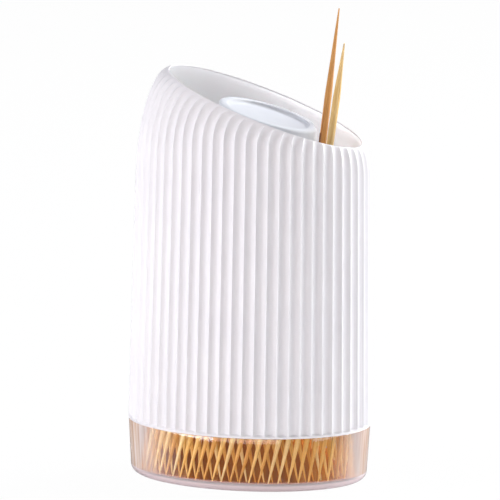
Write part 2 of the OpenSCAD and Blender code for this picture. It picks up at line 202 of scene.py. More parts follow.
def end_with(tree, colour, rough, bump, values):
    """Ends a material in one principled shader with a colour, a roughness, a bump and plain values."""
    shader = add(tree, "BsdfPrincipled", values,
                 {"Base Color": colour, "Roughness": rough, "Normal": bump.outputs["Normal"]})
    finish_material(tree, shader)


print("helpers: mix_colours, stops, two_tones, spread, end_with")

# %% [markdown]
# ## Satin white ABS
# The case is injection moulded in white ABS and the mould was lightly etched, so it is satin: broad soft
# highlights, no sharp reflections. The etch is a grain of about 0.15 mm, drawn here at 0.3 mm so that it still
# shows. ABS has an IOR of 1.53. One function makes two finishes. The fluted outside scatters a trace of light
# just under its skin, so its flutes stay crisp. The inside, from the core of the mould, has a long scatter, and
# its tone is painted light: brighter and bluer than the outside, for the light that comes through the thin wall
# of the mouth.

# %% The satin case finish
ABS_IOR = 1.53


def satin_white_abs(name, low_tone, high_tone, scatter, reach):
    """White ABS that scatters a share of its light under the skin, over a reach in millimetres."""
    material, tree = new_material(name)
    where = add(tree, "TexCoord").outputs["Object"]
    grain_size = 0.3 * MM
    cloud_size = 14 * MM
    grain = add(tree, "TexNoise", {"Scale": 1 / grain_size, "Detail": 3.0, "Roughness": 0.6},
                {"Vector": where})
    cloud = add(tree, "TexNoise", {"Scale": 1 / cloud_size, "Detail": 2.0}, {"Vector": where})
    tone = two_tones(tree, cloud, low_tone, high_tone)
    rough = spread(tree, grain.outputs["Fac"], 0.42, 0.52, 0.3, 0.7)
    bump = add(tree, "Bump", {"Strength": 0.25, "Distance": 0.02 * MM}, {"Height": grain.outputs["Fac"]})
    end_with(tree, tone.outputs["Color"], rough, bump,
             {"IOR": ABS_IOR, "Subsurface Weight": scatter, "Subsurface Scale": reach * MM,
              "Subsurface Radius": (1.0, 0.9, 0.92)})
    return material


case_finish = satin_white_abs("satin_white_abs", "eceaed", "f0eef0", 0.05, 0.5)
# The inside's tone is painted light: brighter and bluer than the outside's, for the light that comes through the
# thin wall of the mouth.
inside_painted_brighter = satin_white_abs("inside_abs_painted_brighter", "f8fbfe", "fafdff", 0.9, 3.6)
print("case finishes", case_finish.name, inside_painted_brighter.name)

# %% [markdown]
# ## Smooth white ABS
# The button is the same plastic from a polished mould, in a slightly darker and cooler white than the case. The
# plain inner parts are the same resin straight from a machined mould, with the faint lines of the cutter 0.6 mm
# apart.

# %% The button and inner finishes
WAVE_PERIOD = 0.314  # the pitch of a wave texture's bands where its scale is 1


def polished_white_abs():
    material, tree = new_material("polished_white_abs")
    where = add(tree, "TexCoord").outputs["Object"]
    ripple_size, fine_size = 5 * MM, 0.3 * MM
    ripple = add(tree, "TexNoise", {"Scale": 1 / ripple_size, "Detail": 2.0}, {"Vector": where})
    tone = two_tones(tree, ripple, "d6d9df", "dadde2")
    rough = spread(tree, ripple.outputs["Fac"], 0.46, 0.54)
    fine = add(tree, "TexNoise", {"Scale": 1 / fine_size, "Detail": 2.0}, {"Vector": where})
    bump = add(tree, "Bump", {"Strength": 0.1, "Distance": 0.01 * MM}, {"Height": fine.outputs["Fac"]})
    end_with(tree, tone.outputs["Color"], rough, bump,
             {"IOR": ABS_IOR, "Subsurface Weight": 0.15, "Subsurface Scale": 0.8 * MM,
              "Subsurface Radius": (0.9, 0.95, 1.0)})
    return material


def machined_mould_abs():
    material, tree = new_material("machined_mould_abs")
    where = add(tree, "TexCoord").outputs["Object"]
    line_pitch, blotch_size = 0.6 * MM, 3 * MM
    lines = add(tree, "TexWave", {"Scale": WAVE_PERIOD / line_pitch, "Distortion": 0.6, "Detail": 1.0},
                {"Vector": where}, bands_direction="Z")
    blotch = add(tree, "TexNoise", {"Scale": 1 / blotch_size, "Detail": 3.0}, {"Vector": where})
    tone = two_tones(tree, blotch, "dfe1e4", "e8e9eb")
    rough = spread(tree, blotch.outputs["Fac"], 0.38, 0.55)
    bump = add(tree, "Bump", {"Strength": 0.3, "Distance": 0.01 * MM}, {"Height": lines.outputs["Fac"]})
    end_with(tree, tone.outputs["Color"], rough, bump, {"IOR": ABS_IOR})
    return material


button_finish = polished_white_abs()
inner_finish = machined_mould_abs()
print("button and inner finishes", button_finish.name, inner_finish.name)

# %% [markdown]
# ## Clear styrene
# The cup is general-purpose polystyrene, clear with the faint lavender cast that a drop of blue dye gives it to
# hide the resin's own yellow. Real polystyrene has an IOR of 1.59. The shader takes 1.5 and a low specular
# level, so that the cup reflects no more than in the photo. Four things cloud it:
# - Hairline scuffs, which only show in the roughness.
# - The thick foot, hazy up to about 2 mm.
# - The wall seen at a slant, hazy too, with upright streaks of painted light in the colour of the sticks behind
#   it. The right end of the cup is fuller of sticks, so it takes more of their colour.
# - Bamboo dust on the inside of the floor, in a brown that is also a painted reflection of the sticks on it.
#
# For shadows the cup is a plain clear window, so that light reaches the sticks.

# %% Values of the cup's haze
HAZE_FLOOR, HAZE_EDGE = 0.8, 0.75
FOOT_HAZE_FULL, FOOT_HAZE_END = 1.4 * MM, 2.3 * MM
SLANT_START, SLANT_FULL = 0.16, 0.6
WALL_FROM = 2.0 * MM
FULLER_FROM, FULLER_TO, FULLER_SHARE = 8 * MM, 26 * MM, 0.5
# The size of the painted streaks of light from the sticks behind the wall.
PAINTED_STREAK_WIDTH, PAINTED_STREAK_HEIGHT = 0.9 * MM, 40 * MM
FACES_UP = 0.8
print("foot haze", HAZE_FLOOR, "edge haze", HAZE_EDGE)

# %% The clear cup


def clear_styrene():
    material, tree = new_material("clear_styrene")
    where = add(tree, "TexCoord").outputs["Object"]
    scuff_size, flow_size = 4 * MM, 9 * MM
    scuff = add(tree, "TexNoise", {"Scale": 1 / scuff_size, "Detail": 4.0}, {"Vector": where})
    rough = spread(tree, scuff.outputs["Fac"], 0.02, 0.09, 0.45, 0.75)
    flow = add(tree, "TexNoise", {"Scale": 1 / flow_size, "Detail": 1.0}, {"Vector": where})
    tone = two_tones(tree, flow, "fcf6f9", "fffafd")
    place = add(tree, "SeparateXYZ", links={"Vector": where})
    height, across = place.outputs["Z"], place.outputs["X"]
    foot = spread(tree, height, HAZE_FLOOR, 0.0, FOOT_HAZE_FULL, FOOT_HAZE_END)
    slant = add(tree, "LayerWeight", {"Blend": 0.5}).outputs["Facing"]
    edge = spread(tree, slant, 0.0, HAZE_EDGE, SLANT_START, SLANT_FULL)
    haze = add(tree, "Math", links={0: foot, 1: edge}, operation="MAXIMUM")
    # Upright streaks of painted light in the colours of the sticks behind the slanted wall, browner towards the
    # fuller right end. They show only on the wall, where it is seen at a slant.
    upright = add(tree, "Mapping", {"Scale": (1 / PAINTED_STREAK_WIDTH, 1 / PAINTED_STREAK_WIDTH, 1 / PAINTED_STREAK_HEIGHT)},
                  {"Vector": where})
    seen_sticks_light = add(tree, "TexNoise", {"Scale": 1.0, "Detail": 2.0}, {"Vector": upright.outputs["Vector"]})
    seen_sticks_light = stops(add(tree, "ValToRGB", links={"Fac": seen_sticks_light.outputs["Fac"]}),
                  (0.38, "d09a68"), (0.5, "ecceb0"), (0.62, "fae8dc"))
    fuller = spread(tree, across, 0.0, FULLER_SHARE, FULLER_FROM, FULLER_TO)
    seen_sticks_light = mix_colours(tree, fuller, seen_sticks_light.outputs["Color"], linear("a88468"))
    on_wall = add(tree, "Math", {1: WALL_FROM}, {0: height}, operation="GREATER_THAN")
    seen_sticks_share = add(tree, "Math", links={0: on_wall.outputs[0], 1: edge}, operation="MULTIPLY")
    tone = mix_colours(tree, seen_sticks_share.outputs[0], tone.outputs["Color"], seen_sticks_light.outputs[2])
    tone = mix_colours(tree, foot, tone.outputs[2], linear("e8d6d8"))
    # The floor inside is painted a bamboo brown: dust, and a painted reflection of the sticks standing on it. It
    # also turns hazy there, so the brown shows.
    normal = add(tree, "NewGeometry").outputs["Normal"]
    facing_up = add(tree, "SeparateXYZ", links={"Vector": normal}).outputs["Z"]
    level = add(tree, "Math", {1: FACES_UP}, {0: facing_up}, operation="GREATER_THAN")
    dust_and_painted_reflection = add(tree, "Math", links={0: level.outputs[0], 1: on_wall.outputs[0]}, operation="SUBTRACT",
                use_clamp=True)
    tone = mix_colours(tree, dust_and_painted_reflection.outputs[0], tone.outputs[2], linear("c88236"))
    haze = add(tree, "Math", links={0: haze.outputs[0], 1: dust_and_painted_reflection.outputs[0]}, operation="MAXIMUM")
    clear = add(tree, "Math", {0: 1.0}, {1: haze.outputs[0]}, operation="SUBTRACT")
    plastic = add(tree, "BsdfPrincipled", {"IOR": 1.5, "Specular IOR Level": 0.2},
                  {"Base Color": tone.outputs[2], "Roughness": rough, "Transmission Weight": clear.outputs[0]})
    window = add(tree, "BsdfTransparent", {"Color": linear("fcf9fb")})
    is_shadow = add(tree, "LightPath").outputs["Is Shadow Ray"]
    shader = add(tree, "MixShader", links={0: is_shadow, 1: plastic.outputs[0], 2: window.outputs[0]})
    finish_material(tree, shader)
    return material


cup_finish = clear_styrene()
print("cup finish", cup_finish.name)

# %% [markdown]
# ## Bamboo
# The sticks are split from bamboo, turned and tumbled smooth. Bamboo has long straight fibres about 0.2 mm
# across, with a darker bundle here and there, and each stick comes from another part of the wall of the cane,
# so each has a tone of its own. The fibres are drawn in a map that runs round and along each stick, and the tone
# is a number stored on the stick, which the colour ramp turns into a pale or a darker straw.
#
# In a deep pile light is handed on from stick to stick. The stored sticks carry a faint glow in its place, set
# so that the band is as bright as in the photo.

# %% The bamboo finish


def turned_bamboo(name, pale, middle, deep, fibre, glow=0.0):
    material, tree = new_material(name)
    grain_map = add(tree, "UVMap", uv_map="grain").outputs["UV"]
    tone_number = add(tree, "Attribute", attribute_name="stick_tone").outputs["Fac"]
    fibre_width, fibre_length = 0.22, 9.0
    stretched = add(tree, "Mapping", {"Scale": (1 / fibre_width, 1 / fibre_length, 1.0)},
                    {"Vector": grain_map})
    fibres = add(tree, "TexNoise", {"Scale": 1.0, "Detail": 4.0, "Roughness": 0.65},
                 {"Vector": stretched.outputs["Vector"]})
    bundles = add(tree, "TexNoise", {"Scale": 0.35, "Detail": 1.0},
                  {"Vector": stretched.outputs["Vector"]})
    mixed = add(tree, "Math", links={0: fibres.outputs["Fac"], 1: tone_number}, operation="ADD")
    share = spread(tree, mixed.outputs["Value"], 0.0, 1.0, 0.45, 1.55)
    tone = stops(add(tree, "ValToRGB", links={"Fac": share}), (0.12, pale), (0.5, middle), (0.9, deep))
    streak = spread(tree, bundles.outputs["Fac"], 0.0, 0.55, 0.62, 0.7)
    colour = mix_colours(tree, streak, tone.outputs["Color"], linear(fibre))
    rough = spread(tree, fibres.outputs["Fac"], 0.42, 0.62)
    bump = add(tree, "Bump", {"Strength": 0.5, "Distance": 0.04 * MM}, {"Height": fibres.outputs["Fac"]})
    end_with(tree, colour.outputs[2], rough, bump,
             {"IOR": 1.5, "Subsurface Weight": 0.03, "Subsurface Scale": 0.3 * MM,
              "Subsurface Radius": (1.0, 0.8, 0.6),
              "Emission Color": linear("d1aa31"), "Emission Strength": glow})
    return material


stored_bamboo = turned_bamboo("stored_bamboo", "fff2b6", "fcd880", "dca048", "7c4c14", glow=0.1)
raised_bamboo = turned_bamboo("raised_bamboo", "fff0c8", "f4cc84", "cc8834", "7c400e")
pale_bamboo = turned_bamboo("pale_bamboo", "f6d294", "e0a058", "c07a34", "945420")
# A dark copy for the third raised stick: painted shade, for the shadow it stands in between the button and the
# first raised stick.
bamboo_painted_shade = turned_bamboo("bamboo_painted_shade", "a87040", "8c5a32", "6a4020", "4e2c14")
print("bamboo tones", [tone.name for tone in (stored_bamboo, raised_bamboo, pale_bamboo, bamboo_painted_shade)])

# %% [markdown]
# ## Plated steel
# The screws, the washer and the spring are drawn or turned steel with a thin zinc plating: grey, with the
# tool's fine rings 0.1 mm apart, drawn at 0.25 mm.

# %% The steel finish


def plated_steel():
    material, tree = new_material("plated_steel")
    where = add(tree, "TexCoord").outputs["Object"]
    ring_pitch, cloud_size = 0.25 * MM, 1.5 * MM
    rings = add(tree, "TexWave", {"Scale": WAVE_PERIOD / ring_pitch, "Distortion": 1.5, "Detail": 2.0},
                {"Vector": where}, bands_direction="Z")
    cloud = add(tree, "TexNoise", {"Scale": 1 / cloud_size, "Detail": 3.0}, {"Vector": where})
    tone = two_tones(tree, cloud, "b4b6ba", "cbccce")
    rough = spread(tree, cloud.outputs["Fac"], 0.26, 0.42)
    bump = add(tree, "Bump", {"Strength": 0.2, "Distance": 0.01 * MM}, {"Height": rings.outputs["Fac"]})
    end_with(tree, tone.outputs["Color"], rough, bump, {"Metallic": 1.0})
    return material


steel_finish = plated_steel()
print("finishes", [material.name for material in bpy.data.materials])

# %% [markdown]
# ## The oval and its flutes
# Seen from above the case is an oval, and its flutes are all equally wide along the oval's edge. Equal steps of
# angle would bunch them at the ends, so the length along the edge is summed in small steps and read backwards:
# for each wanted length, the angle that has it.

# %% Values of the case
HALF_W, HALF_D = 28.0, 21.0
CASE_WALL, LIP_WALL = 1.7, 0.35
DRAFT = math.tan(math.radians(1.05))
FLUTES, FLUTE_DEPTH = 58, 0.7
BAND_H = 12.6
MOUTH_Z, MOUTH_SLOPE = 86.4, math.tan(math.radians(20))
MOUTH_W, MOUTH_D, MOUTH_SHIFT = 22.2, 18.1, 2.7
SHOULDER_SHARE = 3.7


def oval(a, b, t):
    return np.stack([a * np.cos(t), b * np.sin(t)], 1)


def oval_normal(t):
    v = np.stack([HALF_D * np.cos(t), HALF_W * np.sin(t)], 1)
    return v / np.linalg.norm(v, axis=1)[:, None]


def even_angles(a, b, shares):
    """The angles at which these shares of the oval's length are reached, from +X."""
    t = np.linspace(0, 2 * np.pi, 2881)
    length = np.concatenate([[0], np.cumsum(np.linalg.norm(np.diff(oval(a, b, t), axis=0), axis=1))])
    return np.interp(np.asarray(shares) % 1 * length[-1], length, t)


FLUTE_POINTS = 12
flute_share = np.arange(FLUTES * FLUTE_POINTS) / FLUTE_POINTS
case_t = even_angles(HALF_W, HALF_D, (flute_share + 0.5) / FLUTES)
in_flute = flute_share % 1
hollow = 4 * in_flute * (1 - in_flute)
pitch = 2 * np.pi * math.sqrt((HALF_W ** 2 + HALF_D ** 2) / 2) / FLUTES
print("flutes", FLUTES, "about", round(pitch, 2), "mm wide and", FLUTE_DEPTH, "mm deep")

# %% [markdown]
# ## The shoulder
# Below the shoulder the wall is straight, with the slight lean that lets it leave its mould. Near the mouth it
# turns in along a quarter of an oval and ends flat at the rim, and the high side of the slanted mouth has the
# longest turn. Each flute stays deep for most of the turn and is gone at the rim, because it fades with the
# third power of the angle. The wall thins in the same way to the lip. The solid's lip is 0.6 mm thick; the
# photo's reads thinner, so it is 0.35 mm here.

# %% The surface of the case


def side(t, z):
    lean = ((z - BAND_H) * DRAFT)[:, None]
    return oval(1, 1, t) * (np.array([[HALF_W, HALF_D]]) - lean)


def mouth(t):
    return np.array([[MOUTH_SHIFT, 0.0]]) + oval(MOUTH_W, MOUTH_D, t)


def rim_z(t):
    return MOUTH_Z - MOUTH_SLOPE * mouth(t)[:, 0]


TURN_IN = mouth(case_t) - side(case_t, rim_z(case_t))
TURN_DEPTH = -(TURN_IN * oval_normal(case_t)).sum(1)
SHOULDER_H = SHOULDER_SHARE * TURN_DEPTH


def case_ring(degrees, amounts):
    """A ring of the case at an angle up the shoulder, 0 at its foot and 90 at the rim, drawn in by amounts."""
    g = math.radians(degrees)
    z = rim_z(case_t) - SHOULDER_H * (1 - math.sin(g))
    xy = side(case_t, z) + TURN_IN * (1 - math.cos(g))
    normal = np.column_stack([oval_normal(case_t) * (SHOULDER_H * math.cos(g))[:, None],
                              TURN_DEPTH * math.sin(g)])
    normal /= np.linalg.norm(normal, axis=1)[:, None]
    return np.column_stack([xy, z]) - np.asarray(amounts)[:, None] * normal


def foot_ring(amounts, up):
    """A ring of the straight wall at a height above the foot, drawn in by amounts."""
    z = np.full_like(case_t, BAND_H + up)
    return np.column_stack([side(case_t, z) - np.asarray(amounts)[:, None] * oval_normal(case_t), z])


def fade(degrees):
    """The share of a flute's depth that is left at an angle up the shoulder."""
    return 1 - (degrees / 90) ** 3


def wall_at(degrees):
    return LIP_WALL + (CASE_WALL - LIP_WALL) * fade(degrees)


print("shoulder", round(SHOULDER_H.min(), 1), "to", round(SHOULDER_H.max(), 1), "mm high")

# %% The rings of the case
FOOT_ROUND, PLAIN_FOOT, FLUTE_START = 0.15, 0.38, 0.4
LIP_BULGE = 0.3
plain = np.zeros_like(case_t)
rings = [foot_ring(plain + FOOT_ROUND, 0), foot_ring(plain + 0.04, 0.04), foot_ring(plain, FOOT_ROUND),
         foot_ring(plain, PLAIN_FOOT)]
for share in (0.15, 0.4, 0.75, 1.0):
    rings.append(foot_ring(hollow * FLUTE_DEPTH * share, FLUTE_START * (1 + share)))
up_the_shoulder = list(np.linspace(0, 78, 27)) + [80, 82, 84, 86, 88, 90]
rings += [case_ring(g, hollow * FLUTE_DEPTH * fade(g)) for g in up_the_shoulder]
for a in np.radians([20, 45, 70, 90, 110, 135, 160]):
    lip = mouth(case_t) - LIP_WALL * LIP_BULGE * math.sin(a) * oval_normal(case_t)
    rings.append(np.column_stack([lip, rim_z(case_t) - LIP_WALL / 2 * (1 - math.cos(a))]))
inside_from = len(rings)
rings += [case_ring(g, plain + wall_at(g)) for g in np.linspace(90, 0, 19)]
rings += [foot_ring(plain + CASE_WALL, 0.2), foot_ring(plain + CASE_WALL - FOOT_ROUND, 0)]
fluted_case = skin("fluted_case", rings, case_finish, "case", closed=True, sharp=32)
# The inside faces take the finish with painted light.
fluted_case.data.materials.append(inside_painted_brighter)
ring_of_face = np.arange(len(fluted_case.data.polygons)) // len(case_t)
fluted_case.data.polygons.foreach_set("material_index", (ring_of_face >= inside_from).astype(np.int32))
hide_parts("outer_case")
print("case rings", len(rings), "highest point", round(max(r[:, 2].max() for r in rings), 2), "mm")

# %% [markdown]
# ## Round pieces
# Bosses, sleeves, stems and seats are all turned shapes: an outline of radius and height swept round an axis.
# Their edges carry a 0.2 mm round in the outline, because a perfectly sharp moulded edge doesn't exist and
# never catches the light.

# %% A helper for turned pieces
BUTTON_X = 3.3
TURNED_STEPS = 96
print("button axis at x", BUTTON_X, "mm")


def turned(name, outline, centre, material, body, slope=0.0, slope_from=1e9):
    """Sweeps (radius, height) points round an axis. Points above slope_from tilt down towards +X by slope."""
    t = np.linspace(0, 2 * np.pi, TURNED_STEPS, endpoint=False)
    rings = []
    for r, z in outline:
        x, y = r * np.cos(t), r * np.sin(t)
        tilt = slope * x if z > slope_from else 0 * x
        rings.append(np.column_stack([centre[0] + x, centre[1] + y, z - tilt]))
    return skin(name, rings, material, body, sharp=35)


def soft_edges(outline, radius=0.2, closed=False):
    """Cuts each corner of an outline with three points, for a small round."""
    made = []
    count = len(outline)
    for i, p in enumerate(outline):
        if not closed and i in (0, count - 1):
            made.append(p)
            continue
        p, before, after = (np.array(q, float) for q in (p, outline[i - 1], outline[(i + 1) % count]))
        a, b = before - p, after - p
        r = min(radius, np.linalg.norm(a) * 0.45, np.linalg.norm(b) * 0.45)
        start, end = p + a / np.linalg.norm(a) * r, p + b / np.linalg.norm(b) * r
        for s in (0.0, 0.5, 1.0):
            made.append(tuple((1 - s) ** 2 * start + 2 * s * (1 - s) * p + s ** 2 * end))
    return made


# %% [markdown]
# ## The bosses of the bridge
# Two bosses hang under the shoulder of the case, one on each side, joined to the wall by a short web. The screws
# of the bridge bite in them. They are part of the same moulding as the case, so they share its plastic.

# %% Bosses and webs
PLATE_SLOPE = math.tan(math.radians(15.5))
BUTTON_R = 0.396 * HALF_W
GUIDE_R = 0.54 * BUTTON_R
STEM_R = 0.384 * GUIDE_R
RIM_Z, RECESS_DEPTH, HEAD_T = 83.8, 1.3, 1.6
PRESS, GAP = 10, 0.3
BRIDGE_TOP = RIM_Z - PLATE_SLOPE * GUIDE_R - RECESS_DEPTH - HEAD_T - PRESS - GAP
BOSS_R, BOSS_H, BORE_R, BORE_H = 2.2, 6.0, 0.86, 3.4
WEB_HALF, WEB_START, WEB_END = 1.2, 1.2, 0.5
wall_shrink = (BRIDGE_TOP - BAND_H) * DRAFT + CASE_WALL
wall_y = (HALF_D - wall_shrink) * math.sqrt(1 - (BUTTON_X / (HALF_W - wall_shrink)) ** 2)
SCREW_Y = wall_y - BOSS_R - GAP
for side_name, way in (("front", -1), ("back", 1)):
    outline = soft_edges([(BORE_R, BRIDGE_TOP + BORE_H), (BORE_R, BRIDGE_TOP), (BOSS_R, BRIDGE_TOP),
                          (BOSS_R, BRIDGE_TOP + BOSS_H), (BORE_R, BRIDGE_TOP + BOSS_H)])
    boss = turned("bridge_boss_" + side_name, outline, (BUTTON_X, way * SCREW_Y), case_finish, "case")
    near, far = SCREW_Y + WEB_START, wall_y + WEB_END
    profile = soft_edges([(-WEB_HALF, near), (WEB_HALF, near), (WEB_HALF, far), (-WEB_HALF, far)], 0.25,
                         closed=True)
    web_rings = [[(BUTTON_X + x, way * y, z) for x, y in profile]
                 for z in np.linspace(BRIDGE_TOP + 0.02, BRIDGE_TOP + BOSS_H - 0.02, 3)]
    web = skin("bridge_boss_web_" + side_name, web_rings, case_finish, "case")
print("bridge top", round(BRIDGE_TOP, 2), "boss centres at y", round(SCREW_Y, 2))

# %% [markdown]
# ## The clear cup
# The cup is one moulding: an oval dish with a rounded foot, a step on which the case rests, and a thinner spigot
# that plugs into the case. Light bends at both of its faces, so the wall needs its true thickness and a closed
# surface, or it would read as a solid block of glass.

# %% The cup's rings
FLOOR_T, FOOT_R, FOOT_IN = 1.6, 2.0, 0.7
SPIGOT_IN, SPIGOT_TOP, SPIGOT_EDGE = 1.9, 20.0, 0.5
INNER_IN, INNER_CORNER = 3.0, 0.5
cup_t = even_angles(HALF_W, HALF_D, np.arange(288) / 288)
cup_outline = [(FOOT_IN + FOOT_R * (1 - math.cos(g)), FOOT_R * (1 - math.sin(g)))
               for g in np.radians(np.linspace(90, 0, 10))]
cup_outline += soft_edges([(FOOT_IN, FOOT_R), (0.1, BAND_H), (SPIGOT_IN, BAND_H),
                           (SPIGOT_IN, SPIGOT_TOP - SPIGOT_EDGE), (SPIGOT_IN + SPIGOT_EDGE, SPIGOT_TOP),
                           (INNER_IN, SPIGOT_TOP),
                           (INNER_IN, FLOOR_T + INNER_CORNER)], 0.12)[1:-1]
cup_outline += [(INNER_IN + INNER_CORNER * (1 - math.cos(g)), FLOOR_T + INNER_CORNER * (1 - math.sin(g)))
                for g in np.radians(np.linspace(0, 90, 8))]
cup_rings = []
for inward, z in cup_outline:
    xy = oval(HALF_W, HALF_D, cup_t) - inward * oval_normal(cup_t)
    cup_rings.append(np.column_stack([xy, np.full(len(cup_t), z)]))
clear_cup = skin("clear_cup", cup_rings, cup_finish, "base")
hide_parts("base_cup")
print("cup rings", len(cup_rings))

# %% [markdown]
# ## The button
# The button is a cap with a slanted top: a raised rim round a shallow dish. Its wall is cut away in front and
# behind, where the bridge passes when the button goes down. The rim is rounded over by 0.8 mm, and a fillet
# 1 mm wide leads down to the dish. The solid's dish is 1.3 mm deep; the photo's reads shallower, so it is 1 mm
# here, and slightly deeper towards the middle.

# %% The cap's outline seen from above
RIM_W, CAP_WALL = 1.8, 1.4
RECESS_R, INSIDE_R = BUTTON_R - RIM_W, BUTTON_R - CAP_WALL
BUTTON_BOTTOM = 72.0
NOTCH_HALF, NOTCH_TOP = 2.8, BRIDGE_TOP + (PRESS + GAP)
notch_edge = math.acos(NOTCH_HALF / INSIDE_R)
notch_step = 0.004
wall_arc = np.linspace(-notch_edge, notch_edge, 49)
notch_arc = np.linspace(notch_edge + notch_step, math.pi - notch_edge - notch_step, 15)
cap_t = np.concatenate([wall_arc, notch_arc, wall_arc + math.pi, notch_arc + math.pi])
in_notch = np.abs(np.cos(cap_t)) < math.cos(notch_edge) - 1e-4
bottom_z = np.where(in_notch, NOTCH_TOP, BUTTON_BOTTOM)
print("notches", 2 * NOTCH_HALF, "mm wide up to", round(NOTCH_TOP, 2), "mm")

# %% The cap of the button
RIM_ROUND, RIM_INNER_ROUND, CAP_EDGE = 0.8, 0.4, 0.2
DISH_DEPTH, DISH_ROUND, DISH_SPREAD = 1.0, 0.6, 1.0
CENTRE_R = 0.05


def cap_ring(r, height, level=None):
    """A ring at a radius: height above the slanted rim plane, or at a level where that is given."""
    x, y = r * np.cos(cap_t), r * np.sin(cap_t)
    z = RIM_Z - PLATE_SLOPE * x + height if level is None else level
    return np.column_stack([BUTTON_X + x, y, z])


fillet_turn, rim_turn = np.radians([0, 15, 30, 45, 60, 75, 90]), np.radians([0, 18, 36, 54, 72, 90])
top = [(r, -DISH_DEPTH - fall) for r, fall in ((CENTRE_R, 0.12), (3, 0.11), (5.5, 0.07))]
top += [(RECESS_R - DISH_SPREAD * (1 - math.sin(g)), -DISH_DEPTH + DISH_ROUND * (1 - math.cos(g)))
        for g in fillet_turn]
top += [(RECESS_R + RIM_INNER_ROUND * (1 - math.cos(g)), -RIM_INNER_ROUND * (1 - math.sin(g)))
        for g in rim_turn]
top += [(BUTTON_R - RIM_ROUND * (1 - math.sin(g)), -RIM_ROUND * (1 - math.cos(g))) for g in rim_turn]
cap_rings = [cap_ring(r, height) for r, height in top]
cap_rings += [cap_ring(r, 0, level) for r, level in (
    (BUTTON_R, bottom_z + CAP_EDGE), (BUTTON_R - CAP_EDGE, bottom_z),
    (INSIDE_R + CAP_EDGE, bottom_z), (INSIDE_R, bottom_z + CAP_EDGE))]
under = -RECESS_DEPTH - HEAD_T
ceiling = RIM_Z - PLATE_SLOPE * INSIDE_R * np.cos(cap_t) + under
cap_rings += [cap_ring(INSIDE_R, 0, np.maximum(ceiling, bottom_z + 0.25)), cap_ring(CENTRE_R, under)]
cap = skin("button_cap", cap_rings, button_finish, "plunger", sharp=35)
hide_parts("push_button")
print("cap highest point", round(max(r[:, 2].max() for r in cap_rings), 2), "mm")

# %% [markdown]
# ## Under the cap
# A split sleeve slides on the outside of the guide tube and the stem runs down its middle. The spring pushes up
# against a round seat, and two bosses take the plate's screws. All of them reach up into the cap's top, so they
# are one moulding with it.

# %% Under the cap
GUIDE_H, BRIDGE_T, SEAT_H, GUIDE_FLOOR = 18.6, 2.6, 0.7, 2.5
GUIDE_BOTTOM = BRIDGE_TOP - GUIDE_H
PLATE_TOP = BRIDGE_TOP - BRIDGE_T - GAP
STEM_BOTTOM = GUIDE_BOTTOM - GAP
SEAT_Z = BRIDGE_TOP + PRESS - SEAT_H
GUIDE_WALL, SLEEVE_GAP, SLEEVE_OUT = 1.1, 0.1, 1.3
PLATE_BOSS_R = 1.6
hidden_z = RIM_Z + under + 0.6
half_sweep = math.pi / 2 - math.radians(25.5)


def under_cap(name, radius, low, high, dx=0.0, **tilt):
    """A solid round piece of the button's moulding between two heights."""
    outline = soft_edges([(CENTRE_R, low), (radius, low), (radius, high), (CENTRE_R, high)])
    piece = turned(name, outline, (BUTTON_X + dx, 0), button_finish, "plunger", **tilt)


for number, middle in enumerate((0.0, math.pi), 1):
    near, far = GUIDE_R + SLEEVE_GAP, GUIDE_R + SLEEVE_OUT
    outline = soft_edges([(near, PLATE_TOP), (far, PLATE_TOP), (far, hidden_z), (near, hidden_z)], closed=True)
    shell_rings = [[(BUTTON_X + r * math.cos(a), r * math.sin(a),
                     z - (PLATE_SLOPE * r * math.cos(a) if z > PLATE_TOP + 5 else 0)) for r, z in outline]
                   for a in np.linspace(middle - half_sweep, middle + half_sweep, 40)]
    sleeve = skin("button_sleeve_%d" % number, shell_rings, button_finish, "plunger")
under_cap("button_stem", STEM_R, STEM_BOTTOM, hidden_z)
under_cap("spring_seat", GUIDE_R - GUIDE_WALL - GAP, SEAT_Z, hidden_z, slope=PLATE_SLOPE, slope_from=SEAT_Z + 1)
boss_x = (GUIDE_R + SLEEVE_GAP + INSIDE_R) / 2 + 0.6
for number, dx in enumerate((boss_x, -boss_x), 1):
    boss_top = RIM_Z - PLATE_SLOPE * dx + under + 0.5
    under_cap("plate_boss_%d" % number, PLATE_BOSS_R, PLATE_TOP, boss_top, dx)
print("stem from", round(STEM_BOTTOM, 2), "to", round(hidden_z, 2), "mm, spring seat at", round(SEAT_Z, 2))

# %% [markdown]
# ## The spring
# One wire wound nine times round the stem. It is a ring of ten points carried along a helix.

# %% The return spring
SPRING_BOTTOM, SPRING_TOP = GUIDE_BOTTOM + GUIDE_FLOOR, SEAT_Z
WIRE_R, SPRING_R, TURNS = 0.35, (STEM_R + GUIDE_R - GUIDE_WALL) / 2, 9
TURN_RINGS, WIRE_SIDES = 40, 10
rise = (SPRING_TOP - SPRING_BOTTOM - 2 * WIRE_R) / TURNS
lean = math.atan2(rise, 2 * math.pi * SPRING_R)
spring_rings = []
for i in range(TURNS * TURN_RINGS + 1):
    a = 2 * math.pi * i / TURN_RINGS
    ring = []
    for k in range(WIRE_SIDES):
        s = 2 * math.pi * k / WIRE_SIDES
        out, up = WIRE_R * math.cos(s), WIRE_R * math.sin(s)
        ring.append((BUTTON_X + (SPRING_R + out) * math.cos(a) + up * math.sin(lean) * math.sin(a),
                     (SPRING_R + out) * math.sin(a) - up * math.sin(lean) * math.cos(a),
                     SPRING_BOTTOM + WIRE_R + rise * i / TURN_RINGS + up * math.cos(lean)))
    spring_rings.append(ring)
spring = skin("wound_spring", spring_rings, steel_finish, "case", sharp=60)
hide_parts("return_spring")
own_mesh(spring)

# %% [markdown]
# ## The plain inner parts
# The bridge, the plate, the screws and the washer are machined or moulded to exact forms and hardly seen, so the
# CAD solids stay and only take a finish. A narrow bevel modifier rounds their edges without touching the mesh.

